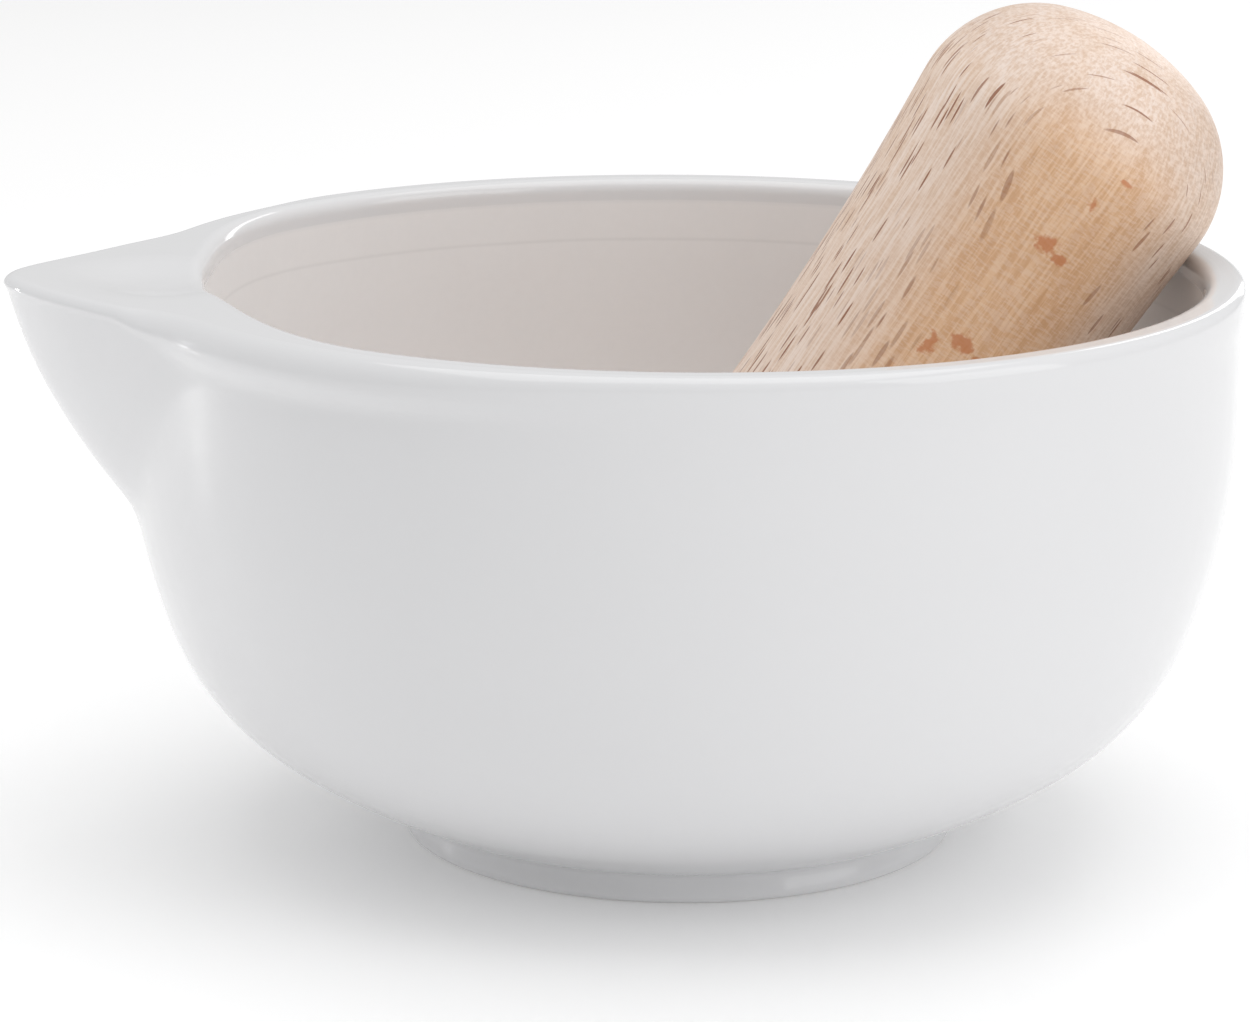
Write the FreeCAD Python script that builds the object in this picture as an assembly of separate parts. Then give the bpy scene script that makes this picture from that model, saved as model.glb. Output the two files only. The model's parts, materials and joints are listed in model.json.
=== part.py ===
"""Porcelain mortar with a pouring spout, and a turned beech pestle leaning in it.

Frame, in millimetres: origin on the bowl's axis at the plane of the foot ring, +Z up,
spout towards -X (turned a little towards -Y), pestle leaning towards +X.
"""
import FreeCAD, Part
import math
import os

V = FreeCAD.Vector

# Mortar: overall sizes
HEIGHT = 72.5               # foot plane to the crest of the rim
RIM_RADIUS = 70.1           # outside of the rim's lip
RIM_WALL = 5.2              # thickness of the rim
LIP_PROUD = 0.4             # how far the lip stands out from the wall below it
LIP_BAND = 3.2              # height of the lip's band
RIM_OUTER_ROUND = 1.6       # rounding of the rim's outer edge
RIM_INNER_ROUND = 1.8       # rounding of the rim's inner edge
MOUTH_TURN = 70.0           # degrees that rounding turns through before it meets the crest

# Mortar: outside of the bowl
WALL_STRAIGHT_TOP = 56.0    # below this height the wall starts to curve in
WALL_CURVE = 80.0           # radius of the upper wall's curve
BELLY_TOP = 28.0            # height where the tighter curve of the belly starts
BELLY_CURVE = 32.0          # radius of the belly
BELLY_BOTTOM = 12.5         # height where the underside flattens
BODY_BOTTOM = 3.8           # height of the body's underside at the foot ring

# Mortar: foot ring
FOOT_RADIUS = 35.0
FOOT_TOP_RADIUS = 34.3
FOOT_WALL = 6.0
FOOT_RECESS = 2.5           # depth of the hollow inside the foot ring
FOOT_EDGE_ROUND = 0.8
FOOT_JOINT_ROUND = 1.0

# Mortar: inside of the bowl
FLOOR_THICKNESS = 7.3       # porcelain over the recess, at the middle
CAVITY_STRAIGHT_TOP = 58.0  # below this height the inner wall curves in
CAVITY_FULLNESS = 2.9       # roundness of the bowl's inside: 2 is an ellipse, more is fuller

# Mortar: spout
SPOUT_TURN = 11.0           # degrees from -X towards -Y
SPOUT_REACH = 84.6          # bowl's axis to the spout's tip at the crest
SPOUT_RISE = 1.0            # how far the tip stands above the crest
SPOUT_HALF_ANGLE = 49.0     # degrees from the spout's middle line to each flank
SPOUT_NOSE = 7.0            # softness of the nose
SPOUT_ROOT = 3.0            # softness of the corner between flank and bowl
KEEL_SLOPE = 0.257          # how fast the underside runs back from the tip, mm per mm
KEEL_CURVE = 0.00978        # and how that run grows further down, per mm
SPOUT_WALL_EXTRA = 5.2      # extra thickness of the inner wall behind the spout
SPOUT_WALL_FULL = 12.0      # degrees each side of the spout where the wall is that thick
SPOUT_WALL_END = 48.0       # degrees each side where the extra thickness ends
SPOUT_WALL_TOP = 50.0       # below this height the extra thickness fades
SPOUT_WALL_FOOT = 28.0      # and here it is gone
CHANNEL_RADIUS = 62.0       # cross-section of the pouring channel
CHANNEL_DEPTH = 1.5         # depth where it leaves the bowl
CHANNEL_END = 76.0          # distance from the axis where it runs out

# Pestle
PESTLE_LENGTH = 100.0
PESTLE_END_RADIUS = 20.7    # thickest, near both ends
PESTLE_WAIST_RADIUS = 19.3  # slimmest, halfway
PESTLE_CORNER = 16.0        # rounding between the side and each end
PESTLE_DOME = 30.0          # radius of each end's low dome
PESTLE_LEAN = 32.9          # degrees from upright
PESTLE_LEAN_TURN = 5.8      # degrees from +X towards +Y
PESTLE_SIDE_SHIFT = 5.9     # how far its middle line passes behind the bowl's axis

# Fit between the two pieces
REST_CLEARANCE = 0.3        # air left between the pestle and the bowl

# Points around each outline, outlines up the cavity, and rounds of settling the pestle
OUTLINE_POINTS = 96
OUTLINE_BUNCHING = 0.6      # 0 spaces the points evenly, more gathers them at the spout
CAVITY_OUTLINES = 12
FIT_STEPS = 14
OVERRUN = 20.0              # how far cutters reach past what they cut


def arc_radius(height, top_height, top_radius, curve):
    """Radius of a wall that curves in below top_height with the given curve radius."""
    drop = max(0.0, top_height - height)
    return top_radius - curve + math.sqrt(curve ** 2 - drop ** 2)


WALL_RADIUS = RIM_RADIUS - LIP_PROUD
BELLY_TOP_RADIUS = arc_radius(BELLY_TOP, WALL_STRAIGHT_TOP, WALL_RADIUS, WALL_CURVE)
SHOULDER = (WALL_STRAIGHT_TOP - BELLY_TOP) / WALL_CURVE
BELLY_MIDDLE_RADIUS = BELLY_TOP_RADIUS - BELLY_CURVE * math.sqrt(1 - SHOULDER ** 2)
BELLY_MIDDLE_HEIGHT = BELLY_TOP + BELLY_CURVE * SHOULDER
BELLY_BOTTOM_RADIUS = BELLY_MIDDLE_RADIUS + math.sqrt(
    BELLY_CURVE ** 2 - (BELLY_MIDDLE_HEIGHT - BELLY_BOTTOM) ** 2)
UNDERSIDE_RADIUS = FOOT_TOP_RADIUS + 1.5 * FOOT_JOINT_ROUND


def smooth_share(value, start, end):
    """0 at start, 1 at end, and a smooth change between them."""
    share = min(1.0, max(0.0, (value - start) / (end - start)))
    return share ** 2 * (3 - 2 * share)


def body_radius(height):
    """Outer radius of the bowl's round body at a height."""
    if height >= BELLY_TOP:
        swell = LIP_PROUD * smooth_share(height, HEIGHT - 2 * LIP_BAND, HEIGHT - LIP_BAND)
        return arc_radius(height, WALL_STRAIGHT_TOP, WALL_RADIUS, WALL_CURVE) + swell
    if height >= BELLY_BOTTOM:
        drop = BELLY_MIDDLE_HEIGHT - height
        return BELLY_MIDDLE_RADIUS + math.sqrt(BELLY_CURVE ** 2 - drop ** 2)
    share = (BELLY_BOTTOM - height) / (BELLY_BOTTOM - BODY_BOTTOM)
    fall = BELLY_BOTTOM_RADIUS - UNDERSIDE_RADIUS
    steep = (BELLY_MIDDLE_HEIGHT - BELLY_BOTTOM) / (BELLY_BOTTOM_RADIUS - BELLY_MIDDLE_RADIUS)
    start = steep * (BELLY_BOTTOM - BODY_BOTTOM)
    return BELLY_BOTTOM_RADIUS - start * share - (fall - start) * share ** 2


def smooth_max(first, second, softness):
    """The larger of two values, with a rounded change from one to the other."""
    overlap = max(0.0, softness - abs(first - second)) / softness
    return max(first, second) + softness * overlap ** 2 / 4


def outline_radius(height, angle):
    """Outer radius at a height, at an angle in radians from the spout's middle line."""
    body = body_radius(height)
    drop = HEIGHT - height
    tip = SPOUT_REACH - KEEL_SLOPE * drop - KEEL_CURVE * drop ** 2
    half = math.radians(SPOUT_HALF_ANGLE)
    nose = SPOUT_NOSE / tip
    turn = math.sqrt(angle ** 2 + nose ** 2)
    if half + turn > math.pi / 2:
        return body
    flank = tip * math.sin(half + nose) / math.sin(half + turn)
    return smooth_max(body, flank, SPOUT_ROOT)


def spout_point(along, across, height):
    """A point given along the spout's middle line, across it and up."""
    turn = math.radians(180.0 + SPOUT_TURN)
    return V(along * math.cos(turn) - across * math.sin(turn),
             along * math.sin(turn) + across * math.cos(turn), height)


def cavity_radius(height, angle):
    """Inner radius at a height, at an angle in radians from the spout's middle line."""
    floor = FOOT_RECESS + FLOOR_THICKNESS
    depth = max(0.0, CAVITY_STRAIGHT_TOP - height) / (CAVITY_STRAIGHT_TOP - floor)
    shrink = (1 - depth ** CAVITY_FULLNESS) ** (1 / CAVITY_FULLNESS)
    near_spout = smooth_share(math.degrees(angle), SPOUT_WALL_END, SPOUT_WALL_FULL)
    near_rim = smooth_share(height, SPOUT_WALL_FOOT, SPOUT_WALL_TOP)
    return (RIM_RADIUS - RIM_WALL) * shrink - SPOUT_WALL_EXTRA * near_spout * near_rim


def outline_wire(radius_at, height, widening=0.0):
    """Closed smooth outline at a height, from a function of height and angle."""
    points = []
    for step in range(OUTLINE_POINTS):
        even = 2 * math.pi * step / OUTLINE_POINTS
        angle = even - OUTLINE_BUNCHING * math.sin(even)
        radius = radius_at(height, min(angle, 2 * math.pi - angle)) + widening
        points.append(spout_point(radius * math.cos(angle), radius * math.sin(angle), height))
    curve = Part.BSplineCurve()
    curve.interpolate(Points=points, PeriodicFlag=True)
    return Part.Wire([curve.toShape()])


def steps_between(start, end, count):
    """Evenly spaced values from start, stopping short of end."""
    return [start + (end - start) * step / count for step in range(count)]


def revolve_profile(edges):
    """Solid of revolution about Z from profile edges in the XZ plane."""
    face = Part.Face(Part.Wire(edges))
    return face.revolve(V(0, 0, 0), V(0, 0, 1), 360)


def line(start, end):
    return Part.LineSegment(start, end).toShape()


def make_body():
    """Outside of the bowl with its spout, closed at the top."""
    heights = steps_between(BODY_BOTTOM, BELLY_BOTTOM, 3)
    heights += steps_between(BELLY_BOTTOM, BELLY_TOP, 3)
    heights += steps_between(BELLY_TOP, WALL_STRAIGHT_TOP, 5)
    heights += steps_between(WALL_STRAIGHT_TOP, HEIGHT - 2 * LIP_BAND, 2)
    heights += steps_between(HEIGHT - 2 * LIP_BAND, HEIGHT - LIP_BAND, 2)
    heights += [HEIGHT - LIP_BAND, HEIGHT, HEIGHT + 2 * SPOUT_RISE]
    return Part.makeLoft([outline_wire(outline_radius, height) for height in heights], True)


def make_crest_cutter():
    """What lies above the rim: level over the bowl, rising gently to the spout's tip."""
    reach = SPOUT_REACH + OVERRUN
    start = RIM_RADIUS - RIM_WALL
    run = SPOUT_REACH - start
    curve = (run ** 2 + SPOUT_RISE ** 2) / (2 * SPOUT_RISE)
    sweep = (reach - start) / curve
    lift = curve * (1 - math.cos(sweep))
    middle_lift = curve * (1 - math.cos(sweep / 2))
    side = -reach
    far = curve * math.sin(sweep) + start
    half_way = curve * math.sin(sweep / 2) + start
    top = HEIGHT + OVERRUN + lift
    corners = [spout_point(-reach, side, HEIGHT), spout_point(start, side, HEIGHT),
               spout_point(half_way, side, HEIGHT + middle_lift),
               spout_point(far, side, HEIGHT + lift),
               spout_point(far, side, top), spout_point(-reach, side, top)]
    edges = [line(corners[0], corners[1]),
             Part.Arc(corners[1], corners[2], corners[3]).toShape(),
             line(corners[3], corners[4]),
             line(corners[4], corners[5]),
             line(corners[5], corners[0])]
    across = spout_point(0, 2 * reach, 0)
    return Part.Face(Part.Wire(edges)).extrude(across)


def make_cavity():
    """The space inside the bowl, widening through the rim's rounded inner edge."""
    floor = FOOT_RECESS + FLOOR_THICKNESS
    edge_start = HEIGHT - RIM_INNER_ROUND
    wires = []
    for share in steps_between(1 / CAVITY_OUTLINES, 1.0, CAVITY_OUTLINES - 1):
        # outlines stand closer together near the floor
        height = floor + share ** 2 * (CAVITY_STRAIGHT_TOP - floor)
        wires.append(outline_wire(cavity_radius, height))
    for height in steps_between(CAVITY_STRAIGHT_TOP, edge_start, 3):
        wires.append(outline_wire(cavity_radius, height))
    for turn in steps_between(0.0, MOUTH_TURN, 4) + [MOUTH_TURN]:
        height = edge_start + RIM_INNER_ROUND * math.sin(math.radians(turn))
        widening = RIM_INNER_ROUND * (1 - math.cos(math.radians(turn)))
        wires.append(outline_wire(cavity_radius, height, widening))
    # straight on from there until it is clear of the crest
    rise = 2 * (HEIGHT - height)
    widening += rise * math.tan(math.radians(MOUTH_TURN))
    wires.append(outline_wire(cavity_radius, height + rise, widening))
    return Part.makeLoft(wires, True)


def make_channel():
    """Cutter for the shallow channel from the bowl to the spout's tip."""
    start = RIM_RADIUS - RIM_WALL - SPOUT_WALL_EXTRA
    slope = math.atan2(CHANNEL_DEPTH + SPOUT_RISE / 2, CHANNEL_END - start)
    foot = spout_point(start - OVERRUN, 0,
                       HEIGHT - CHANNEL_DEPTH - OVERRUN * math.tan(slope) + CHANNEL_RADIUS)
    along = spout_point(math.cos(slope), 0, math.sin(slope))
    return Part.makeCylinder(CHANNEL_RADIUS, 3 * OVERRUN, foot, along)


def make_foot():
    """Foot ring, reaching up into the body."""
    inner = FOOT_RADIUS - FOOT_WALL
    joint = BODY_BOTTOM + FOOT_RECESS
    edges = [line(V(inner, 0, 0), V(FOOT_RADIUS, 0, 0)),
             line(V(FOOT_RADIUS, 0, 0), V(FOOT_TOP_RADIUS, 0, BODY_BOTTOM)),
             line(V(FOOT_TOP_RADIUS, 0, BODY_BOTTOM), V(FOOT_TOP_RADIUS, 0, joint)),
             line(V(FOOT_TOP_RADIUS, 0, joint), V(0, 0, joint)),
             line(V(0, 0, joint), V(0, 0, FOOT_RECESS)),
             line(V(0, 0, FOOT_RECESS), V(inner - FOOT_EDGE_ROUND, 0, FOOT_RECESS)),
             line(V(inner - FOOT_EDGE_ROUND, 0, FOOT_RECESS), V(inner, 0, 0))]
    return revolve_profile(edges)


def spread(point):
    """Distance of a point from the bowl's axis."""
    return math.hypot(point.x, point.y)


def edges_where(shape, test):
    """Edges of a shape whose every sampled point passes a test."""
    found = []
    for edge in shape.Edges:
        if not edge.Degenerated and all(test(point) for point in edge.discretize(9)):
            found.append(edge)
    return found


def make_mortar():
    middle = RIM_RADIUS - RIM_WALL / 2
    shape = make_body().cut(make_crest_cutter())
    rim = edges_where(shape, lambda p: p.z > HEIGHT - 0.01 and spread(p) > middle)
    shape = shape.makeFillet(RIM_OUTER_ROUND, rim)
    shape = shape.fuse(make_foot())
    joint = edges_where(shape, lambda p: abs(p.z - BODY_BOTTOM) < 0.01
                        and abs(spread(p) - FOOT_TOP_RADIUS) < 0.01)
    shape = shape.makeFillet(FOOT_JOINT_ROUND, joint)
    shape = shape.cut(make_cavity())
    return shape.cut(make_channel())


def pestle_profile():
    """Half outline of the pestle along +Z from its lower end, as edges in the XZ plane."""
    half = PESTLE_LENGTH / 2
    centre = PESTLE_LENGTH - PESTLE_DOME
    reach = PESTLE_DOME - PESTLE_CORNER
    offset = PESTLE_END_RADIUS - PESTLE_CORNER
    corner_height = centre + math.sqrt(reach ** 2 - offset ** 2)
    dome_angle = math.atan2(offset, corner_height - centre)
    corner_angle = (dome_angle + math.pi / 2) / 2
    top = V(0, 0, PESTLE_LENGTH)
    dome_middle = V(PESTLE_DOME * math.sin(dome_angle / 2), 0,
                    centre + PESTLE_DOME * math.cos(dome_angle / 2))
    dome_end = V(PESTLE_DOME * math.sin(dome_angle), 0,
                 centre + PESTLE_DOME * math.cos(dome_angle))
    corner_middle = V(offset + PESTLE_CORNER * math.sin(corner_angle), 0,
                      corner_height + PESTLE_CORNER * math.cos(corner_angle))
    side_top = V(PESTLE_END_RADIUS, 0, corner_height)
    side_bottom = V(PESTLE_END_RADIUS, 0, PESTLE_LENGTH - corner_height)
    waist = V(PESTLE_WAIST_RADIUS, 0, half)
    upper = [Part.Arc(top, dome_middle, dome_end).toShape(),
             Part.Arc(dome_end, corner_middle, side_top).toShape()]
    side = Part.Arc(side_top, waist, side_bottom).toShape()
    lower = []
    for edge in reversed(upper):
        lower.append(edge.mirror(V(0, 0, half), V(0, 0, 1)))
    return upper + [side] + lower


def make_pestle():
    """The pestle standing upright on the origin."""
    edges = pestle_profile()
    edges.append(line(V(0, 0, 0), V(0, 0, PESTLE_LENGTH)))
    return revolve_profile(Part.__sortEdges__(edges))


def lean_placement(shift, height):
    """Placement that leans the pestle and sets its lower end down at a shift and height."""
    turn = math.radians(PESTLE_LEAN_TURN)
    foot = V(shift * math.cos(turn) - PESTLE_SIDE_SHIFT * math.sin(turn),
             shift * math.sin(turn) + PESTLE_SIDE_SHIFT * math.cos(turn), height)
    upright = FreeCAD.Rotation(V(0, 1, 0), PESTLE_LEAN)
    around = FreeCAD.Rotation(V(0, 0, 1), PESTLE_LEAN_TURN)
    return FreeCAD.Placement(foot, around.multiply(upright))


def pestle_radius(along):
    """Radius of the pestle's waisted side at a distance from its lower end."""
    half = PESTLE_LENGTH / 2
    reach = half - PESTLE_CORNER
    swell = PESTLE_END_RADIUS - PESTLE_WAIST_RADIUS
    return PESTLE_WAIST_RADIUS + swell * ((along - half) / reach) ** 2


def rest_pestle(pestle, cavity):
    """Lean the pestle so that it just clears the bowl's floor and the rim's inner edge."""
    middle_line = line(V(0, 0, 0), V(0, 0, PESTLE_LENGTH))
    corner_ring = Part.makeCircle(PESTLE_END_RADIUS - PESTLE_CORNER, V(0, 0, PESTLE_CORNER))
    rim_ring = Part.makeCircle(RIM_RADIUS - RIM_WALL + RIM_INNER_ROUND,
                               V(0, 0, HEIGHT - RIM_INNER_ROUND))
    shift = 0.0
    height = FOOT_RECESS + FLOOR_THICKNESS
    for step in range(FIT_STEPS):
        placement = lean_placement(shift, height)
        middle_line.Placement = placement
        corner_ring.Placement = placement
        floor_gap = corner_ring.distToShape(cavity)[0] - PESTLE_CORNER - REST_CLEARANCE
        rim_distance, nearest, _ = middle_line.distToShape(rim_ring)
        along = (nearest[0][0] - placement.Base).Length
        rim_gap = rim_distance - pestle_radius(along) - RIM_INNER_ROUND - REST_CLEARANCE
        height -= floor_gap
        shift += rim_gap / math.cos(math.radians(PESTLE_LEAN))
    pestle.Placement = lean_placement(shift, height)
    return pestle


def build():
    os.makedirs("parts", exist_ok=True)
    make_mortar().exportStep("parts/mortar.step")
    rest_pestle(make_pestle(), make_cavity().Shells[0]).exportStep("parts/pestle.step")


build()
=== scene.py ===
import json
import math

import bpy
from bpy.props import FloatProperty, FloatVectorProperty, IntProperty, PointerProperty
from mathutils import Matrix, Vector

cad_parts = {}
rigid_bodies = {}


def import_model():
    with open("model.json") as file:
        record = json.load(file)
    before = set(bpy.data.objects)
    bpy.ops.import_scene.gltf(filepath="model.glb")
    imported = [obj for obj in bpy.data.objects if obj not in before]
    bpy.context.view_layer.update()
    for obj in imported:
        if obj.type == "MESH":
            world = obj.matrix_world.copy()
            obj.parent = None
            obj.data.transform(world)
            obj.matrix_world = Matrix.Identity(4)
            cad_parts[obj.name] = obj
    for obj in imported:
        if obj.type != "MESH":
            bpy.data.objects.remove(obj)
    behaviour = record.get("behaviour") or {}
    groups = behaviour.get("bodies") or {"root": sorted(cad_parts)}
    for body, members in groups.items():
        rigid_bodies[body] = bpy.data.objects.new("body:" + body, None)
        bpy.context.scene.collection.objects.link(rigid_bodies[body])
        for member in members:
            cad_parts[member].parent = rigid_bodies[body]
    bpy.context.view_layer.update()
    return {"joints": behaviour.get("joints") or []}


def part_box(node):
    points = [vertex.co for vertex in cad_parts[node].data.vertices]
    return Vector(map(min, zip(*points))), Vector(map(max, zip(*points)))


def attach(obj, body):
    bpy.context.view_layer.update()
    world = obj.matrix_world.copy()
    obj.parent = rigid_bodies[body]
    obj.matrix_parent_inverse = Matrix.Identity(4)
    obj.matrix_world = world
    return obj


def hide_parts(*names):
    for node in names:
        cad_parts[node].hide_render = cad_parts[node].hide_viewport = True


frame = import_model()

bl_info = {
    "name": "Mortar and pestle",
    "version": (1, 0, 0),
    "blender": (4, 5, 0),
    "location": "3D View > Sidebar > Mortar",
    "description": "Porcelain mortar with a pouring spout, and a turned beech pestle",
    "category": "Add Mesh",
}

PESTLE_LOW, PESTLE_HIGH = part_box("pestle")


def length(name, description, default):
    """A size in metres."""
    return FloatProperty(name=name, description=description, default=default,
                         unit="LENGTH", subtype="DISTANCE", precision=5)


def turning(name, description, degrees):
    """An angle, given here in degrees."""
    return FloatProperty(name=name, description=description, default=math.radians(degrees),
                         unit="ROTATION", subtype="ANGLE")


def shade(name, description, default):
    """A colour."""
    return FloatVectorProperty(name=name, description=description, default=default,
                               subtype="COLOR", min=0.0, max=1.0, size=3)


class MortarSizes(bpy.types.PropertyGroup):
    """Sizes and colours of the mortar."""
    height: length("Height", "Foot plane to the crest of the rim", 0.0725)
    rim_radius: length("Rim radius", "Outside of the rim's lip", 0.0701)
    rim_wall: length("Rim wall", "Thickness of the rim", 0.0052)
    lip_proud: length("Lip", "How far the lip stands out from the wall", 0.0004)
    lip_band: length("Lip band", "Height of the lip's band", 0.0032)
    outer_round: length("Outer rounding", "Rounding of the rim's outer edge", 0.0016)
    inner_round: length("Inner rounding", "Rounding of the rim's inner edge", 0.0018)
    roll_round: length("Rolled edge", "Extra rounding of the outer edge beside the spout", 0.0014)
    roll_proud: length("Rolled lip", "How far the lip swells beside the spout", 0.0015)
    straight_top: length("Straight wall", "Below this height the wall curves in", 0.056)
    wall_curve: length("Wall curve", "Radius of the upper wall's curve", 0.080)
    belly_top: length("Belly top", "Height where the belly's tighter curve starts", 0.028)
    belly_curve: length("Belly curve", "Radius of the belly", 0.032)
    belly_bottom: length("Belly bottom", "Height where the underside flattens", 0.0125)
    body_bottom: length("Body bottom", "Height of the underside at the foot ring", 0.0038)
    foot_radius: length("Foot radius", "Outside of the foot ring", 0.035)
    foot_top: length("Foot top", "Radius of the foot ring where it meets the body", 0.0343)
    foot_wall: length("Foot wall", "Width of the foot ring", 0.006)
    foot_recess: length("Foot recess", "Depth of the hollow inside the foot ring", 0.0025)
    floor: length("Floor", "Height of the bowl's floor", 0.0098)
    cavity_top: length("Inner wall", "Below this height the inner wall curves in", 0.058)
    reach: length("Spout reach", "Bowl's axis to the spout's tip", 0.0844)
    rise: length("Spout rise", "How far the tip stands above the crest", 0.001)
    nose: length("Spout nose", "Softness of the spout's nose", 0.007)
    root: length("Spout root", "Softness of the corner between flank and bowl", 0.0010)
    spout_wall: length("Spout wall", "Extra thickness of the wall behind the spout", 0.0052)
    pinch: length("Pinch", "How far the rim is drawn in behind the spout", 0.0010)
    channel: length("Channel", "Depth of the pouring channel", 0.0009)
    spout_turn: turning("Spout turn", "From straight left towards the front", 11.0)
    half_angle: turning("Spout half angle", "From the middle line to each flank", 49.0)
    fullness: FloatProperty(name="Fullness", description="Roundness of the bowl's inside",
                            default=2.9)
    around: IntProperty(name="Around", description="Points around each ring", default=176)
    gathering: FloatProperty(name="Gathering", default=0.5,
                             description="How much closer the points stand near the spout")
    glaze: shade("Glaze", "Colour of the glazed porcelain", (0.725, 0.725, 0.735))
    bare: shade("Bare porcelain", "Colour of the unglazed inside", (0.825, 0.811, 0.807))


class PestleSizes(bpy.types.PropertyGroup):
    """Sizes and colours of the pestle."""
    length: length("Length", "From end to end", 0.100)
    end_radius: length("End radius", "Thickest, near both ends", 0.0207)
    waist_radius: length("Waist radius", "Slimmest, halfway", 0.0193)
    corner: length("Corner", "Rounding between the side and each end", 0.016)
    dome: length("Dome", "Radius of each end's low dome", 0.030)
    lean: turning("Lean", "From upright", 32.9)
    lean_turn: turning("Lean turn", "From straight right towards the back", 5.8)
    around: IntProperty(name="Around", description="Points around each ring", default=96)
    # pale: the wood's own pale tone, and at the sides partly a painted sheen
    pale: shade("Pale wood", "Colour of the pale wood at the sides and end", (0.895, 0.750, 0.655))
    warm: shade("Warm wood", "Colour of the warmer middle", (0.845, 0.560, 0.350))
    dark: shade("Rays", "Colour of the rays cut edge-on", (0.275, 0.090, 0.034))
    flake: shade("Flakes", "Colour of the ray flakes lying flat", (0.600, 0.215, 0.080))


class StageSizes(bpy.types.PropertyGroup):
    """Camera, floor and lights."""
    eye: FloatVectorProperty(name="Eye", description="Place of the camera", size=3,
                             default=(0.0, -0.5503, 0.1737), unit="LENGTH",
                             subtype="TRANSLATION", precision=4)
    look_left: turning("Look left", "The camera's turn to the left", 0.73)
    look_down: turning("Look down", "The camera's tilt below the horizon", 13.60)
    roll: turning("Roll", "The camera's roll", 0.38)
    lens: FloatProperty(name="Lens", description="Focal length in millimetres", default=128.62)
    floor: shade("Floor", "Colour of the floor", (0.95, 0.95, 0.95))
    floor_glow: FloatProperty(name="Floor glow", description="Light the pale floor adds",
                              default=0.09)
    sky: FloatProperty(name="Sky", description="Brightness of the white surroundings",
                       default=0.62)


# ---------------------------------------------------------------- shaping helpers

def start_fresh():
    """Object mode, with nothing selected."""
    if bpy.context.object and bpy.context.object.mode != "OBJECT":
        bpy.ops.object.mode_set(mode="OBJECT")
    bpy.ops.object.select_all(action="DESELECT")


def smooth_share(value, start, end):
    """0 at start, 1 at end, and a smooth change between them."""
    share = min(1.0, max(0.0, (value - start) / (end - start)))
    return share ** 2 * (3 - 2 * share)


def hump(value, low, high, soft):
    """1 between low and high, fading to 0 over soft on each side."""
    return smooth_share(value, low - soft, low) * smooth_share(value, high + soft, high)


def smooth_max(first, second, softness):
    """The larger of two values, with a rounded change from one to the other."""
    overlap = max(0.0, softness - abs(first - second)) / softness
    return max(first, second) + softness * overlap ** 2 / 4


def turned(name, rings, around):
    """A closed turned shape: a ring is raised and resized again and again, then closed.

    rings lists (radius, height) from the lower middle outwards and round to the end.
    """
    start_fresh()
    radius, height = rings[0]
    bpy.ops.mesh.primitive_circle_add(vertices=around, radius=radius, location=(0, 0, height))
    piece = bpy.context.object
    piece.name = name
    bpy.ops.object.transform_apply(location=True, rotation=True, scale=True)
    bpy.ops.object.mode_set(mode="EDIT")
    bpy.ops.mesh.select_all(action="SELECT")
    bpy.ops.mesh.extrude_region_move()
    bpy.ops.mesh.merge(type="CENTER")
    bpy.ops.object.mode_set(mode="OBJECT")
    select_ring(piece, radius, height)
    for next_radius, next_height in rings[1:]:
        bpy.ops.mesh.extrude_region_move(
            TRANSFORM_OT_translate={"value": (0, 0, next_height - height)})
        scale = next_radius / radius
        bpy.ops.transform.resize(value=(scale, scale, 1), center_override=(0, 0, next_height))
        radius, height = next_radius, next_height
    bpy.ops.mesh.extrude_region_move()
    bpy.ops.mesh.merge(type="CENTER")
    bpy.ops.mesh.select_all(action="SELECT")
    bpy.ops.mesh.normals_make_consistent(inside=False)
    bpy.ops.object.mode_set(mode="OBJECT")
    return piece


def select_ring(piece, radius, height):
    """Edit mode, with the open ring at this radius and height selected."""
    mesh = piece.data
    for vertex in mesh.vertices:
        spread = math.hypot(vertex.co.x, vertex.co.y)
        vertex.select = abs(spread - radius) < 1e-6 and abs(vertex.co.z - height) < 1e-6
    for edge in mesh.edges:
        edge.select = all(mesh.vertices[index].select for index in edge.vertices)
    for face in mesh.polygons:
        face.select = False
    bpy.ops.object.mode_set(mode="EDIT")
    bpy.context.tool_settings.mesh_select_mode = (False, True, False)


def finish_mesh(piece, levels):
    """Subdivide, smooth the shading and select nothing."""
    start_fresh()
    bpy.context.view_layer.objects.active = piece
    piece.select_set(True)
    modifier = piece.modifiers.new("smooth", "SUBSURF")
    modifier.levels = levels
    modifier.render_levels = levels
    bpy.ops.object.modifier_apply(modifier=modifier.name)
    bpy.ops.object.shade_smooth()
    start_fresh()


# ---------------------------------------------------------------- mortar shape

UNDERSIDE_STEP = 0.0015     # from the foot ring's top out to the body's underside


def arc_radius(height, top_height, top_radius, curve):
    """Radius of a wall that curves in below top_height with the given curve radius."""
    drop = max(0.0, top_height - height)
    return top_radius - curve + math.sqrt(curve ** 2 - drop ** 2)


# degrees from the spout's middle line, towards the front
ROLL_START, ROLL_FULL = 15.0, 18.8      # the rolled lip begins and is full
ROLL_FADES, ROLL_END = 40.0, 80.0       # it starts to fade and is gone
PINCH_LOW, PINCH_HIGH, PINCH_SOFT = -44.0, -30.0, 12.0
WALL_THICK, WALL_PLAIN = 12.0, 48.0     # the wall behind the spout is thickest, and plain again


def beside_spout(angle):
    """1 along the front flank of the spout's root, where the lip is rolled, fading to 0."""
    turn = math.degrees(angle)
    return smooth_share(turn, ROLL_START, ROLL_FULL) * smooth_share(turn, ROLL_END, ROLL_FADES)


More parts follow.
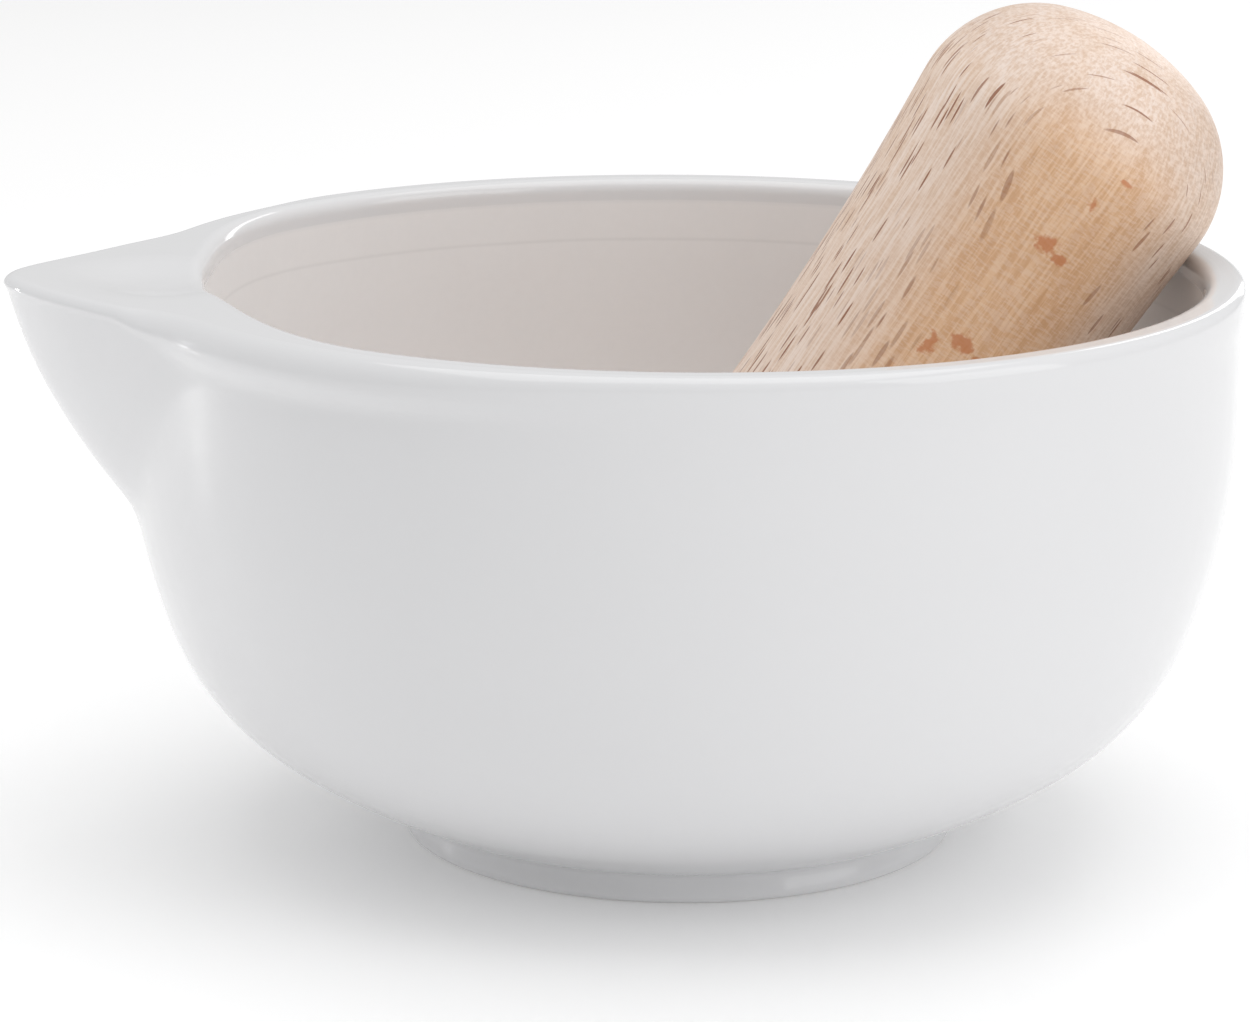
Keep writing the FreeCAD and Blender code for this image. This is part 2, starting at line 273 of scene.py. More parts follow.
def body_radius(s, height, angle):
    """Outer radius of the bowl's round body."""
    wall = s.rim_radius - s.lip_proud
    belly_top = arc_radius(s.belly_top, s.straight_top, wall, s.wall_curve)
    shoulder = (s.straight_top - s.belly_top) / s.wall_curve
    middle_radius = belly_top - s.belly_curve * math.sqrt(1 - shoulder ** 2)
    middle_height = s.belly_top + s.belly_curve * shoulder
    if height >= s.belly_top:
        lip = s.lip_proud + s.roll_proud * beside_spout(angle)
        swell = lip * smooth_share(height, s.height - 2 * s.lip_band, s.height - s.lip_band)
        return arc_radius(height, s.straight_top, wall, s.wall_curve) + swell
    if height >= s.belly_bottom:
        return middle_radius + math.sqrt(s.belly_curve ** 2 - (middle_height - height) ** 2)
    bottom = middle_radius + math.sqrt(
        s.belly_curve ** 2 - (middle_height - s.belly_bottom) ** 2)
    underside = s.foot_top + UNDERSIDE_STEP
    share = (s.belly_bottom - height) / (s.belly_bottom - s.body_bottom)
    fall = bottom - underside
    start = ((middle_height - s.belly_bottom) / (bottom - middle_radius)
             * (s.belly_bottom - s.body_bottom))
    return bottom - start * share - (fall - start) * share ** 2


KEEL_SLOPE = 0.257          # how fast the spout's underside runs back, metre per metre
KEEL_CURVE = 9.78           # and how that grows further down, per metre
PINCH_DEPTH = 0.03          # how far below the crest the rim is drawn in
THICK_FOOT = 0.028          # the thick wall behind the spout starts at this height
THICK_TOP = 0.050           # and is full at this one
TIP_BEND = 0.012            # below the crest, the wall starts to rise with the spout's tip
DISH_MIDDLE = 0.0655        # the pouring dish's middle, from the bowl's axis
DISH_LENGTH = 0.0095        # half its length along the spout
DISH_WIDTH = 0.0115         # half its width
DISH_EDGE = 1.3             # the dish starts this many half sizes from its middle
DISH_FLOOR = 0.2            # and is at full depth within this many


def outline_point(s, height, angle):
    """Outside of the bowl and spout: along and across the spout's middle line."""
    body = body_radius(s, height, angle)
    drop = s.height - height
    tip = s.reach - KEEL_SLOPE * drop - KEEL_CURVE * drop ** 2
    nose = s.nose / tip
    turn = math.sqrt(angle ** 2 + nose ** 2)
    radius = body
    if s.half_angle + turn < math.pi / 2:
        flank = tip * math.sin(s.half_angle + nose) / math.sin(s.half_angle + turn)
        radius = smooth_max(body, flank, s.root)
    drawn_in = hump(math.degrees(angle), PINCH_LOW, PINCH_HIGH, PINCH_SOFT)
    radius -= s.pinch * drawn_in * smooth_share(height, s.height - PINCH_DEPTH, s.height)
    return Vector((radius * math.cos(angle), radius * math.sin(angle)))


def cavity_radius(s, height, angle):
    """Inner radius of the bowl."""
    depth = max(0.0, s.cavity_top - height) / (s.cavity_top - s.floor)
    shrink = (1 - depth ** s.fullness) ** (1 / s.fullness)
    near_spout = smooth_share(math.degrees(abs(angle)), WALL_PLAIN, WALL_THICK)
    near_rim = smooth_share(height, THICK_FOOT, THICK_TOP)
    return (s.rim_radius - s.rim_wall) * shrink - s.spout_wall * near_spout * near_rim


def crest_height(s, along, across):
    """Height of the rim's top: rising to the spout's tip, dished where it pours."""
    start = s.rim_radius - s.rim_wall
    run = max(0.0, along - start) / (s.reach - start)
    away = math.hypot((along - DISH_MIDDLE) / DISH_LENGTH, across / DISH_WIDTH)
    dish = s.channel * smooth_share(away, DISH_EDGE, DISH_FLOOR)
    return s.height + s.rise * run ** 2 - dish


def inward(s, height, angle):
    """Unit vector into the wall, square to the outline."""
    step = 0.004
    before = outline_point(s, height, angle - step)
    after = outline_point(s, height, angle + step)
    along = (after - before).normalized()
    return Vector((-along.y, along.x))


def foot_rings(s):
    """Plain rings of the foot, from the recess outwards and up to the body.

    The small steps in metres round its edges.
    """
    inner = s.foot_radius - s.foot_wall
    top = s.foot_recess
    return [(0.0010, top), (0.010, top), (0.020, top), (inner - 0.0025, top),
            (inner - 0.0013, top), (inner - 0.0007, top - 0.0002), (inner - 0.0004, top - 0.0007),
            (inner, 0.0008), (inner + 0.0003, 0.0003), (inner + 0.0008, 0.0),
            (inner + 0.0020, 0.0), (s.foot_radius - 0.0012, 0.0), (s.foot_radius - 0.0005, 0.0),
            (s.foot_radius - 0.0001, 0.0002), (s.foot_radius, 0.0006),
            (s.foot_radius - 0.0003, 0.0018), (s.foot_top, 0.0030),
            (s.foot_top + 0.0002, 0.0035), (s.foot_top + 0.0008, s.body_bottom)]


WALL_SHARES = [0.0, 0.012, 0.035, 0.07, 0.11, 0.155, 0.2, 0.25, 0.3, 0.35, 0.4, 0.46, 0.52,
               0.565, 0.60, 0.63, 0.66, 0.69, 0.725, 0.765, 0.81, 0.85, 0.885, 0.91, 0.93, 0.95,
               0.97, 0.985, 1.0]
EDGE_SHARES = [0.16, 0.33, 0.5, 0.67, 0.84, 1.0]
LAND_SHARES = [0.06, 0.13, 0.21, 0.29, 0.37, 0.45, 0.53, 0.61, 0.69, 0.77, 0.85, 0.93, 1.0]
MOUTH_SHARES = [0.84, 0.67, 0.5, 0.33, 0.16, 0.0]
BOWL_SHARES = [0.007, 0.017, 0.022, 0.067, 0.134, 0.192, 0.268, 0.351, 0.452, 0.552, 0.652, 0.736,
               0.811, 0.870, 0.911, 0.941, 0.965, 0.980, 0.990, 0.995, 0.9987]
GLAZE_END = 0.0195          # share of the way down the bowl where the glaze stops
FLOOR_SHARES = [0.7, 0.4, 0.15]     # rings that close the floor, as shares of its last ring
FLOOR_SAG = 2e-5            # and the step down from each to the next
BACK_ANGLE = 0.999 * math.pi        # just beside the line opposite the spout
STANDING_FROM = 0.020       # the foot's underside is bare outside this radius
STANDING_TOP = 0.0002       # and below this height


def ring_point(s, zone, share, angle):
    """A point of one ring: along and across the spout's middle line, and its height."""
    roll = s.outer_round + s.roll_round * beside_spout(angle)
    if zone == "wall":
        top = s.height - roll
        height = s.body_bottom + share * (top - s.body_bottom)
        point = outline_point(s, height, angle)
        lift = crest_height(s, point.x, point.y) - s.height
        height += max(0.0, lift) * smooth_share(height, s.height - TIP_BEND, top)
        return point.x, point.y, height
    if zone == "bowl":
        top = s.height - s.inner_round
        height = top - share * (top - s.floor)
        radius = cavity_radius(s, height, angle)
        return radius * math.cos(angle), radius * math.sin(angle), height
    outer = outline_point(s, s.height, angle)
    into = inward(s, s.height, angle)
    if zone == "edge":
        turn = share * math.pi / 2
        point = outer + into * roll * (1 - math.cos(turn))
        height = crest_height(s, point.x, point.y) - roll * (1 - math.sin(turn))
        return point.x, point.y, height
    radius = cavity_radius(s, s.height, angle)
    radial = Vector((math.cos(angle), math.sin(angle)))
    if zone == "land":
        point = (outer + into * roll).lerp(radial * (radius + s.inner_round), share)
        return point.x, point.y, crest_height(s, point.x, point.y)
    turn = share * math.pi / 2
    point = radial * (radius + s.inner_round * (1 - math.cos(turn)))
    top = crest_height(s, point.x, point.y)
    return point.x, point.y, top - (s.inner_round - s.height + top) * (1 - math.sin(turn))


def to_world(s, along, across, height):
    """From the spout's own directions to the frame's."""
    turn = math.pi + s.spout_turn
    return Vector((along * math.cos(turn) - across * math.sin(turn),
                   along * math.sin(turn) + across * math.cos(turn), height))


class MORTAR_OT_mortar(bpy.types.Operator):
    """Turn the bowl, draw out its spout and glaze it"""
    bl_idname = "mortar.mortar"
    bl_label = "Mortar"

    def execute(self, context):
        s = context.scene.mortar_sizes
        zones = [("wall", share) for share in WALL_SHARES]
        zones += [("edge", share) for share in EDGE_SHARES]
        zones += [("land", share) for share in LAND_SHARES]
        zones += [("mouth", share) for share in MOUTH_SHARES]
        zones += [("bowl", share) for share in BOWL_SHARES]
        plain = foot_rings(s)
        rings = list(plain)
        for zone, share in zones:
            along, across, height = ring_point(s, zone, share, BACK_ANGLE)
            rings.append((math.hypot(along, across), height))
        last_radius = rings[-1][0]
        for share in FLOOR_SHARES:
            rings.append((last_radius * share, rings[-1][1] - FLOOR_SAG))
        piece = turned("mortar_bowl", rings, s.around)
        draw_spout(s, piece, rings, zones)
        finish_mesh(piece, 1)
        piece.data.materials.append(porcelain(s))
        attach(piece, frame["joints"][0]["parent"])
        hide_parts("mortar")
        return {"FINISHED"}


def draw_spout(s, piece, rings, zones):
    """Move every ring of the turned bowl onto its outline, and mark the unglazed part."""
    mesh = piece.data
    bare = mesh.attributes.new("bare", "FLOAT", "POINT")
    first = len(rings) - len(zones) - len(FLOOR_SHARES)
    found = {}
    for vertex in mesh.vertices:
        spread = math.hypot(vertex.co.x, vertex.co.y)
        where = (round(spread, 6), round(vertex.co.z, 6))
        if where not in found:
            found[where] = min(range(len(rings)), key=lambda ring: abs(rings[ring][0] - where[0])
                               + abs(rings[ring][1] - where[1]))
        index = found[where] - first
        if index < 0:
            standing = rings[index + first][1] < STANDING_TOP and spread > STANDING_FROM
            bare.data[vertex.index].value = 1.0 if standing else 0.0
        elif index >= len(zones):
            bare.data[vertex.index].value = 1.0
        else:
            zone, share = zones[index]
            unglazed = zone == "bowl" and share > GLAZE_END
            bare.data[vertex.index].value = 1.0 if unglazed else 0.0
            turn = math.atan2(vertex.co.y, vertex.co.x) - math.pi - s.spout_turn
            angle = (turn + math.pi) % (2 * math.pi) - math.pi
            angle -= s.gathering * math.sin(angle)
            vertex.co = to_world(s, *ring_point(s, zone, share, angle))
    mesh.update()


# ---------------------------------------------------------------- pestle shape

DOME_RINGS = 5              # rings over each low dome
CORNER_RINGS = 12           # rings round each corner
SIDE_RINGS = 20             # steps along the waisted side
PIP = 0.0006                # radius of the first and last rings


def pestle_rings(s):
    """Rings of the pestle standing on its lower end."""
    centre = s.length - s.dome
    offset = s.end_radius - s.corner
    corner_height = centre + math.sqrt((s.dome - s.corner) ** 2 - offset ** 2)
    dome_angle = math.atan2(offset, corner_height - centre)
    upper = []
    for step in range(1, DOME_RINGS + 1):
        turn = dome_angle * step / DOME_RINGS
        upper.append((s.dome * math.sin(turn), centre + s.dome * math.cos(turn)))
    for step in range(1, CORNER_RINGS + 1):
        turn = dome_angle + (math.pi / 2 - dome_angle) * step / CORNER_RINGS
        upper.append((offset + s.corner * math.sin(turn),
                      corner_height + s.corner * math.cos(turn)))
    side = []
    half = s.length / 2
    for step in range(1, SIDE_RINGS):
        share = 2 * step / SIDE_RINGS - 1
        swell = (s.end_radius - s.waist_radius) * share ** 2
        side.append((s.waist_radius + swell, half + share * (corner_height - half)))
    lower = [(radius, s.length - height) for radius, height in upper]
    pip_height = centre + math.sqrt(s.dome ** 2 - PIP ** 2)
    return ([(PIP, s.length - pip_height)] + lower + side + upper[::-1]
            + [(PIP, pip_height)])


def pestle_turn(s):
    """The pestle's lean as a rotation."""
    return Matrix.Rotation(s.lean_turn, 3, "Z") @ Matrix.Rotation(s.lean, 3, "Y")


def pestle_foot(s, piece):
    """Where the pestle's lower end stands, from the box of its node."""
    turned_points = [pestle_turn(s) @ vertex.co for vertex in piece.data.vertices]
    low = Vector([min(point[axis] for point in turned_points) for axis in range(3)])
    high = Vector([max(point[axis] for point in turned_points) for axis in range(3)])
    return (PESTLE_LOW + PESTLE_HIGH) / 2 - (low + high) / 2


class MORTAR_OT_pestle(bpy.types.Operator):
    """Turn the pestle and lean it in the bowl"""
    bl_idname = "mortar.pestle"
    bl_label = "Pestle"

    def execute(self, context):
        s = context.scene.pestle_sizes
        piece = turned("pestle_beech", pestle_rings(s), s.around)
        finish_mesh(piece, 1)
        foot = pestle_foot(s, piece)
        start_fresh()
        bpy.context.view_layer.objects.active = piece
        piece.select_set(True)
        piece.rotation_euler = pestle_turn(s).to_euler()
        piece.location = foot
        bpy.ops.object.transform_apply(location=True, rotation=True, scale=True)
        start_fresh()
        piece.data.materials.append(beech(s, foot))
        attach(piece, frame["joints"][0]["child"])
        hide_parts("pestle")
        return {"FINISHED"}


# ---------------------------------------------------------------- finishes

def add(tree, kind, inputs=None, **settings):
    """A new node, with its settings and with values or links on its inputs."""
    node = tree.nodes.new(kind)
    for name, value in settings.items():
        setattr(node, name, value)
    for name, value in (inputs or {}).items():
        socket = node.inputs[name]
        if isinstance(value, bpy.types.NodeSocket):
            tree.links.new(value, socket)
        else:
            socket.default_value = value
    return node


def maths(tree, operation, first, second=0.0, third=0.0):
    """Result of a sum on one, two or three values."""
    node = add(tree, "ShaderNodeMath", {0: first, 1: second, 2: third}, operation=operation)
    return node.outputs[0]


def between(tree, value, low, high, to_low=0.0, to_high=1.0):
    """A value carried smoothly from one range to another."""
    node = add(tree, "ShaderNodeMapRange",
               {"Value": value, "From Min": low, "From Max": high, "To Min": to_low,
                "To Max": to_high}, interpolation_type="SMOOTHSTEP")
    return node.outputs["Result"]


def blend_colours(tree, share, first, second, how="MIX"):
    """Two colours mixed by a share."""
    node = tree.nodes.new("ShaderNodeMix")
    node.data_type = "RGBA"
    node.blend_type = how
    for index, value in ((0, share), (6, first), (7, second)):
        if isinstance(value, bpy.types.NodeSocket):
            tree.links.new(value, node.inputs[index])
        elif index == 0:
            node.inputs[index].default_value = value
        else:
            node.inputs[index].default_value = (*value[:3], 1.0)
    return node.outputs[2]


def stretch(tree, vector, scale):
    """A vector scaled on each axis."""
    node = add(tree, "ShaderNodeVectorMath", {0: vector, 1: scale}, operation="MULTIPLY")
    return node.outputs[0]


def noise(tree, vector, scale, detail=2.0, roughness=0.5):
    """Soft noise from 0 to 1."""
    node = add(tree, "ShaderNodeTexNoise", {"Vector": vector, "Scale": scale,
               "Detail": detail, "Roughness": roughness})
    return node.outputs["Fac"]


def mottle_group():
    """Node group: soft patches and a fine grain, as one value about 0.5."""
    name = "mottle"
    if name in bpy.data.node_groups:
        return bpy.data.node_groups[name]
    group = bpy.data.node_groups.new(name, "ShaderNodeTree")
    group.interface.new_socket("Vector", in_out="INPUT", socket_type="NodeSocketVector")
    group.interface.new_socket("Patch scale", in_out="INPUT", socket_type="NodeSocketFloat")
    group.interface.new_socket("Grain scale", in_out="INPUT", socket_type="NodeSocketFloat")
    group.interface.new_socket("Value", in_out="OUTPUT", socket_type="NodeSocketFloat")
    inside = group.nodes.new("NodeGroupInput")
    outside = group.nodes.new("NodeGroupOutput")
    patches = noise(group, inside.outputs["Vector"], inside.outputs["Patch scale"], 3.0)
    grain = noise(group, inside.outputs["Vector"], inside.outputs["Grain scale"], 2.0)
    mixed = maths(group, "MULTIPLY_ADD", patches, 0.7, maths(group, "MULTIPLY", grain, 0.3))
    group.links.new(mixed, outside.inputs["Value"])
    return group


def mottle(tree, vector, patch_scale, grain_scale):
    """The mottle group placed in a material."""
    node = add(tree, "ShaderNodeGroup", node_tree=mottle_group())
    for name, value in (("Patch scale", patch_scale), ("Grain scale", grain_scale)):
        node.inputs[name].default_value = value
    tree.links.new(vector, node.inputs["Vector"])
    return node.outputs["Value"]


def new_material(name):
    """An empty node material with its shader linked to the output."""
    material = bpy.data.materials.new(name)
    material.use_nodes = True
    tree = material.node_tree
    tree.nodes.clear()
    output = tree.nodes.new("ShaderNodeOutputMaterial")
    shader = tree.nodes.new("ShaderNodeBsdfPrincipled")
    tree.links.new(shader.outputs[0], output.inputs["Surface"])
    return material, tree, shader


SCORE_HEIGHT = 0.0640       # height of the thin scored line inside the bowl
SCORE_WIDTH = 0.0004
PORCELAIN_IOR = 1.5


def lighter(colour, amount):
    """A colour made brighter, or darker below 1."""
    return [min(1.0, part * amount) for part in colour]


def porcelain(s):
    """White glaze outside and on the rim, matt bare porcelain where the pestle grinds."""
    material, tree, shader = new_material("glazed porcelain")
    place = tree.nodes.new("ShaderNodeTexCoord").outputs["Object"]
    bare = add(tree, "ShaderNodeAttribute", attribute_name="bare").outputs["Fac"]
    patches = mottle(tree, place, 22.0, 900.0)
    height = add(tree, "ShaderNodeSeparateXYZ", {0: place}).outputs["Z"]
    glaze = blend_colours(tree, patches, lighter(s.glaze, 0.985), lighter(s.glaze, 1.015))
    inside = blend_colours(tree, patches, lighter(s.bare, 0.95), lighter(s.bare, 1.04))
    wobble = maths(tree, "MULTIPLY_ADD", noise(tree, place, 18.0), 0.0008, -0.0004)
    above = maths(tree, "SUBTRACT", height, SCORE_HEIGHT)
    ring = maths(tree, "ABSOLUTE", maths(tree, "ADD", above, wobble))
    line = maths(tree, "MULTIPLY", between(tree, ring, 0.0, SCORE_WIDTH, 1.0, 0.0), bare)
    inside = blend_colours(tree, maths(tree, "MULTIPLY", line, 0.35), inside,
                           lighter(s.bare, 0.82))
    colour = blend_colours(tree, bare, glaze, inside)
    tree.links.new(colour, shader.inputs["Base Color"])
    glaze_rough = maths(tree, "MULTIPLY_ADD", patches, 0.05, 0.07)
    rough = maths(tree, "MULTIPLY_ADD", bare, 0.42, glaze_rough)
    tree.links.new(rough, shader.inputs["Roughness"])
    shader.inputs["IOR"].default_value = PORCELAIN_IOR
    grain = maths(tree, "MULTIPLY", noise(tree, place, 1600.0, 3.0), bare)
    waves = maths(tree, "MULTIPLY", noise(tree, place, 60.0, 2.0), 1.2)
    relief = maths(tree, "ADD", maths(tree, "MULTIPLY", grain, 0.4), waves)
    relief = maths(tree, "SUBTRACT", relief, maths(tree, "MULTIPLY", line, 0.8))
    bump = add(tree, "ShaderNodeBump", {"Strength": 0.25, "Distance": 0.00004,
                                        "Height": relief})
    tree.links.new(bump.outputs[0], shader.inputs["Normal"])
    return material


FLAKES = (  # orange ray flakes lying in the surface: place from the pestle's lower end, and size
    ((-0.0003, -0.0200, 0.0729), (0.0016, 0.0030, 0.0011)),
    ((0.0024, -0.0198, 0.0722), (0.0012, 0.0030, 0.0008)),
    ((0.0018, -0.0204, 0.0802), (0.0008, 0.0030, 0.0009)),
    ((-0.0017, -0.0193, 0.0571), (0.0018, 0.0030, 0.0012)),
    ((0.0012, -0.0193, 0.0562), (0.0016, 0.0030, 0.0007)),
    ((0.0036, -0.0200, 0.0845), (0.0011, 0.0030, 0.0004)),
    ((-0.0052, -0.0186, 0.0547), (0.0009, 0.0030, 0.0014)),
)


def flake_mask(tree, vector, rough):
    """Where the orange flakes lie, with ragged edges."""
    total = 0.0
    for place, size in FLAKES:
        offset = add(tree, "ShaderNodeVectorMath", {0: vector, 1: place}, operation="SUBTRACT")
        scaled = stretch(tree, offset.outputs[0], [1 / axis for axis in size])
        far = add(tree, "ShaderNodeVectorMath", {0: scaled}, operation="LENGTH").outputs["Value"]
        ragged = maths(tree, "MULTIPLY_ADD", rough, 2.4, maths(tree, "SUBTRACT", far, 1.2))
        total = maths(tree, "MAXIMUM", between(tree, ragged, 0.6, 1.15, 1.0, 0.0), total)
    return total


LOG_TURN = (0.0, math.radians(1.2), math.radians(4.0))  # the log's grain against the pestle
DRIFT_SCALE = (40.0, 40.0, 25.0)        # slow wandering of the grain, waves per metre
DRIFT = (0.0, 0.0022, 0.0)              # and how far it wanders
FIBRE_SCALE = (2400.0, 2400.0, 110.0)   # fine fibres along the pestle
BAND_SCALE = (420.0, 130.0, 8.0)        # broad growth bands
CROSS_SCALE = (700.0, 900.0, 3000.0)    # fine marks across the fibres: a bump, and a painted sheen where they lighten the colour
RAY_SCALE = (60.0, 1900.0, 140.0)       # rays: thin plates, wide across the log
BAND_TINT = (0.88, 0.79, 0.68)
FIBRE_TINT = (0.86, 0.77, 0.68)
RIGHT_SIDE_SHADE = (0.80, 0.77, 0.74)          # painted shade: the pestle darkens towards its right side
END_TINT = (0.86, 0.86, 0.88)           # and its end grain is a little greyer


def beech(s, foot):
    """Pale beech: long fibres, thin dark rays cut edge-on, and orange flakes lying flat."""
    material, tree, shader = new_material("turned beech")
    place = tree.nodes.new("ShaderNodeTexCoord").outputs["Object"]
    lean = pestle_turn(s).to_euler()
    # the pestle's own directions: X and Y across it, Z along it from its lower end
    own = add(tree, "ShaderNodeMapping", {"Vector": place, "Location": foot,
              "Rotation": lean}, vector_type="TEXTURE").outputs[0]
    log = add(tree, "ShaderNodeMapping", {"Vector": own,
              "Rotation": LOG_TURN}, vector_type="TEXTURE").outputs[0]
    drift = add(tree, "ShaderNodeTexNoise", {"Vector": stretch(tree, log, DRIFT_SCALE),
                "Scale": 1.0, "Detail": 2.0}).outputs["Color"]
    bent = add(tree, "ShaderNodeVectorMath", {0: drift, 1: DRIFT, 2: log},
               operation="MULTIPLY_ADD").outputs[0]
    split = add(tree, "ShaderNodeSeparateXYZ", {0: own})
    across, up = split.outputs["X"], split.outputs["Z"]
    sideways = maths(tree, "ABSOLUTE", across)
    on_end = between(tree, up, 0.085, 0.091)
    on_side = between(tree, sideways, 0.0050, 0.0085)
    fibre = noise(tree, stretch(tree, bent, FIBRE_SCALE), 1.0, 3.0, 0.6)
    bands = noise(tree, stretch(tree, bent, BAND_SCALE), 1.0, 2.0, 0.6)
    cross_marks_and_sheen = noise(tree, stretch(tree, log, CROSS_SCALE), 1.0, 2.0)
    patches = mottle(tree, log, 60.0, 2200.0)
    rays = add(tree, "ShaderNodeTexVoronoi", {"Vector": stretch(tree, bent, RAY_SCALE),
               "Scale": 1.0, "Randomness": 1.0}, feature="F1", distance="EUCLIDEAN")
    thick = maths(tree, "MULTIPLY_ADD", noise(tree, log, 160.0, 1.0), 0.40, 0.12)
    left = between(tree, across, -0.002, 0.012, 1.0, 0.70)
    thick = maths(tree, "MULTIPLY", thick, left)
    thick = maths(tree, "MULTIPLY", thick, between(tree, up, 0.084, 0.090, 1.0, 0.55))
    share = maths(tree, "DIVIDE", rays.outputs["Distance"], thick)
    fleck = between(tree, share, 0.72, 1.06, 1.0, 0.0)
    fleck = maths(tree, "MULTIPLY", fleck, maths(tree, "MAXIMUM", on_side, on_end))
    strong = add(tree, "ShaderNodeSeparateColor", {0: rays.outputs["Color"]}).outputs[0]
    fleck = maths(tree, "MULTIPLY", fleck, maths(tree, "MULTIPLY_ADD", strong, 0.7, 0.3))
    flakes = flake_mask(tree, own, noise(tree, own, 900.0, 3.0))
    # partly painted sheen: warm wood in the middle, pale towards the sides and over the end; the
    # pale sides stand in part for sheen where the surface turns away
    warmth_against_side_sheen = maths(tree, "MULTIPLY", between(tree, sideways, 0.003, 0.019, 1.0, 0.0),
                   between(tree, up, 0.080, 0.097, 1.0, 0.0))
    warmth_against_side_sheen = maths(tree, "MULTIPLY_ADD", patches, 0.5, maths(tree, "SUBTRACT", warmth_against_side_sheen, 0.25))
    colour = blend_colours(tree, between(tree, warmth_against_side_sheen, 0.0, 1.0), s.pale, s.warm)
    # painted shade: darker towards the pestle's right side
    colour = blend_colours(tree, between(tree, across, 0.000, 0.017), colour,
                           RIGHT_SIDE_SHADE, "MULTIPLY")
    colour = blend_colours(tree, maths(tree, "MULTIPLY", on_end, 0.6), colour,
                           END_TINT, "MULTIPLY")
    colour = blend_colours(tree, between(tree, bands, 0.42, 0.68, 0.0, 0.45), colour,
                           BAND_TINT, "MULTIPLY")
    colour = blend_colours(tree, between(tree, fibre, 0.36, 0.64), colour,
                           FIBRE_TINT, "MULTIPLY")
    # painted sheen: the fine cross marks lighten the colour
    colour = blend_colours(tree, between(tree, cross_marks_and_sheen, 0.42, 0.62, 0.0, 0.20), colour,
                           lighter(s.pale, 1.10))
    colour = blend_colours(tree, maths(tree, "MULTIPLY", flakes, 0.80), colour, s.flake)
    colour = blend_colours(tree, maths(tree, "MULTIPLY", fleck, 0.92), colour, s.dark)
    tree.links.new(colour, shader.inputs["Base Color"])
    rough = maths(tree, "MULTIPLY_ADD", fibre, 0.16, 0.40)
    tree.links.new(rough, shader.inputs["Roughness"])
    relief = maths(tree, "MULTIPLY_ADD", cross_marks_and_sheen, 0.3, maths(tree, "MULTIPLY", fibre, 0.6))
    relief = maths(tree, "SUBTRACT", relief, fleck)
    bump = add(tree, "ShaderNodeBump", {"Strength": 0.4, "Distance": 0.00008,
                                        "Height": relief})
    tree.links.new(bump.outputs[0], shader.inputs["Normal"])
    return material


# ---------------------------------------------------------------- stage

LIGHTS = (  # name, place, what it faces, width and height in metres, watts
    ("window", (1.1, -0.6, 0.6), (0, 0, 0.04), 0.9, 1.1, 4.6),
    ("left strip", (-0.34, 0.085, 0.068), (-0.06, -0.03, 0.055), 0.010, 0.104, 0.12),
    ("right strip", (0.45, 1.05, 0.45), (0, 0, 0.04), 0.14, 0.8, 1.0),
    ("top", (0.05, 0.0, 1.3), (0, 0, 0.0), 1.3, 1.3, 7.5),
)
WHITE = (1.0, 1.0, 1.0, 1.0)
BACKDROP = 1.2              # brightness of the surroundings as the camera sees them


def softbox(name, place, aim, width, tall, power):
    """A large soft light at place, facing aim."""
    lamp = bpy.data.lights.new(name, "AREA")
    lamp.shape = "RECTANGLE"
    lamp.size = width
    lamp.size_y = tall
    lamp.energy = power
    holder = bpy.data.objects.new(name, lamp)
    bpy.context.scene.collection.objects.link(holder)
    holder.location = place
    direction = Vector(aim) - Vector(place)
    holder.rotation_euler = direction.to_track_quat("-Z", "Y").to_euler()


def place_camera(s, scene):
    """The scene's camera, at its place and angle."""
    lens = bpy.data.cameras.new("camera")
    lens.lens = s.lens
    lens.sensor_width = 36.0
    lens.clip_start = 0.01
    camera = bpy.data.objects.new("camera", lens)
    scene.collection.objects.link(camera)
    camera.matrix_world = (Matrix.Translation(s.eye)
                           @ Matrix.Rotation(s.look_left, 4, "Z")
                           @ Matrix.Rotation(math.pi / 2 - s.look_down, 4, "X")
                           @ Matrix.Rotation(s.roll, 4, "Z"))
    scene.camera = camera
    scene.view_settings.view_transform = "Standard"


def lay_floor(s):
    """The pale floor."""
    bpy.ops.mesh.primitive_plane_add(size=6.0, location=(0, 0, -0.00005))
    floor = bpy.context.object
    floor.name = "floor"
    material, _, shader = new_material("pale floor")
    shader.inputs["Base Color"].default_value = (*s.floor, 1.0)
    shader.inputs["Roughness"].default_value = 0.6
    shader.inputs["Emission Color"].default_value = WHITE
    shader.inputs["Emission Strength"].default_value = s.floor_glow
    floor.data.materials.append(material)


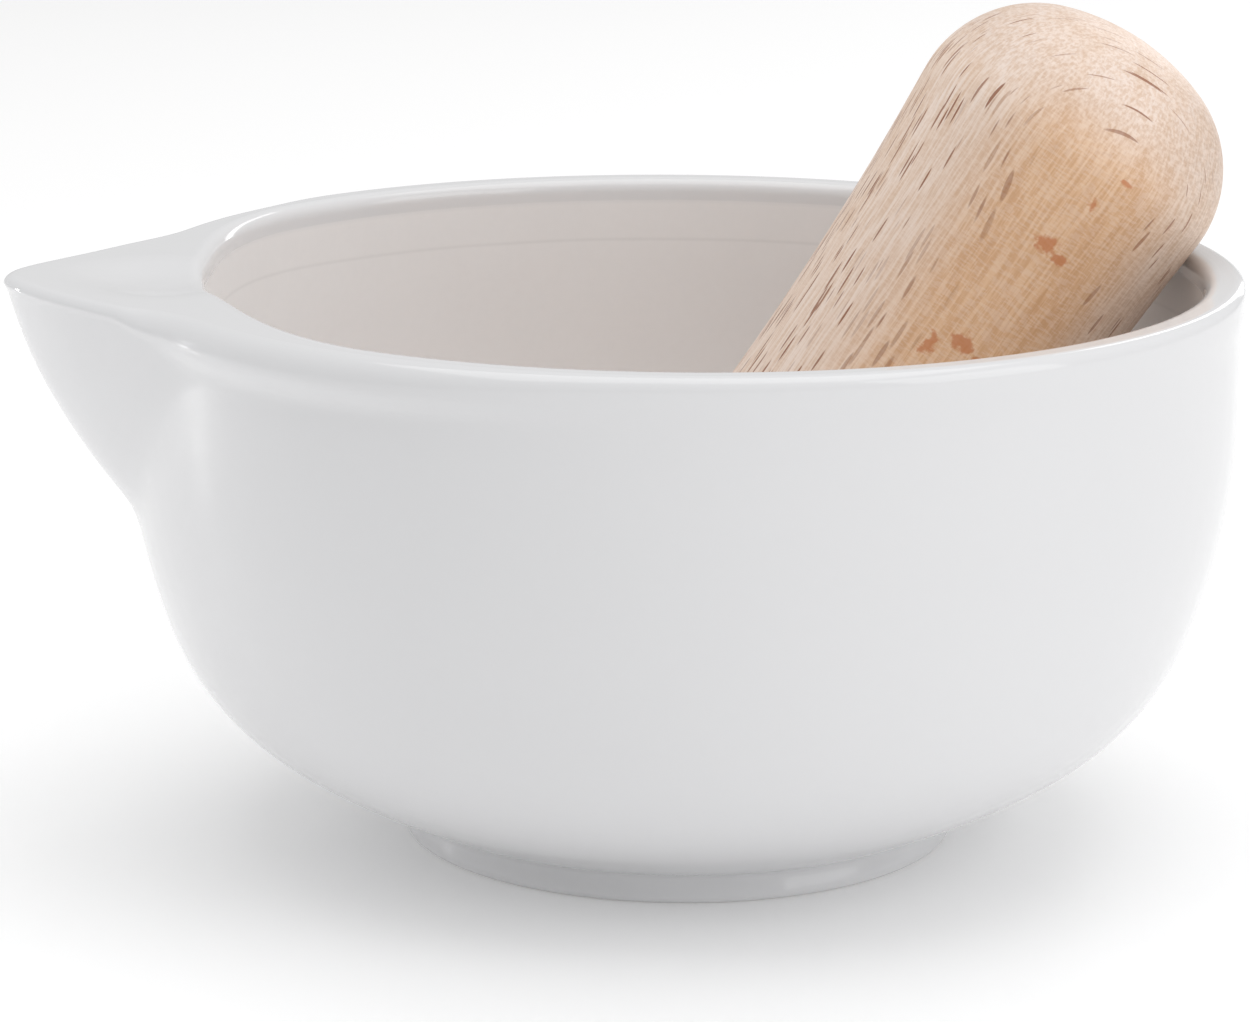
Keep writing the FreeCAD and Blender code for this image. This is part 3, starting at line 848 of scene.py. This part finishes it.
def light_sky(s, scene):
    """White surroundings: softer as a light than as the camera sees them."""
    world = scene.world or bpy.data.worlds.new("sky")
    scene.world = world
    world.use_nodes = True
    tree = world.node_tree
    tree.nodes.clear()
    sky = add(tree, "ShaderNodeBackground", {"Color": WHITE, "Strength": s.sky})
    seen = add(tree, "ShaderNodeBackground", {"Color": WHITE, "Strength": BACKDROP})
    path = tree.nodes.new("ShaderNodeLightPath")
    both = add(tree, "ShaderNodeMixShader", {0: path.outputs["Is Camera Ray"]})
    tree.links.new(sky.outputs[0], both.inputs[1])
    tree.links.new(seen.outputs[0], both.inputs[2])
    out = tree.nodes.new("ShaderNodeOutputWorld")
    tree.links.new(both.outputs[0], out.inputs["Surface"])


class MORTAR_OT_stage(bpy.types.Operator):
    """Place the camera, the floor, the sky and the lights"""
    bl_idname = "mortar.stage"
    bl_label = "Stage"

    def execute(self, context):
        s = context.scene.stage_sizes
        start_fresh()
        place_camera(s, context.scene)
        lay_floor(s)
        light_sky(s, context.scene)
        for light in LIGHTS:
            softbox(*light)
        start_fresh()
        return {"FINISHED"}


class MORTAR_PT_panel(bpy.types.Panel):
    """Buttons for the stage and each piece"""
    bl_label = "Mortar and pestle"
    bl_idname = "MORTAR_PT_panel"
    bl_space_type = "VIEW_3D"
    bl_region_type = "UI"
    bl_category = "Mortar"

    def draw(self, context):
        for operator in (MORTAR_OT_stage, MORTAR_OT_mortar, MORTAR_OT_pestle):
            self.layout.operator(operator.bl_idname)
        for group in ("mortar_sizes", "pestle_sizes", "stage_sizes"):
            sizes = getattr(context.scene, group)
            for name in sizes.__annotations__:
                self.layout.prop(sizes, name)


CLASSES = (MortarSizes, PestleSizes, StageSizes, MORTAR_OT_mortar, MORTAR_OT_pestle,
           MORTAR_OT_stage, MORTAR_PT_panel)


def register():
    """Register the classes and give the scene their sizes."""
    for item in CLASSES:
        bpy.utils.register_class(item)
    bpy.types.Scene.mortar_sizes = PointerProperty(type=MortarSizes)
    bpy.types.Scene.pestle_sizes = PointerProperty(type=PestleSizes)
    bpy.types.Scene.stage_sizes = PointerProperty(type=StageSizes)


def unregister():
    """Take back what register did."""
    del bpy.types.Scene.stage_sizes
    del bpy.types.Scene.pestle_sizes
    del bpy.types.Scene.mortar_sizes
    for item in reversed(CLASSES):
        bpy.utils.unregister_class(item)


def main():
    """Build the whole scene."""
    register()
    bpy.ops.mortar.stage()
    bpy.ops.mortar.mortar()
    bpy.ops.mortar.pestle()


if __name__ == "__main__":
    main()
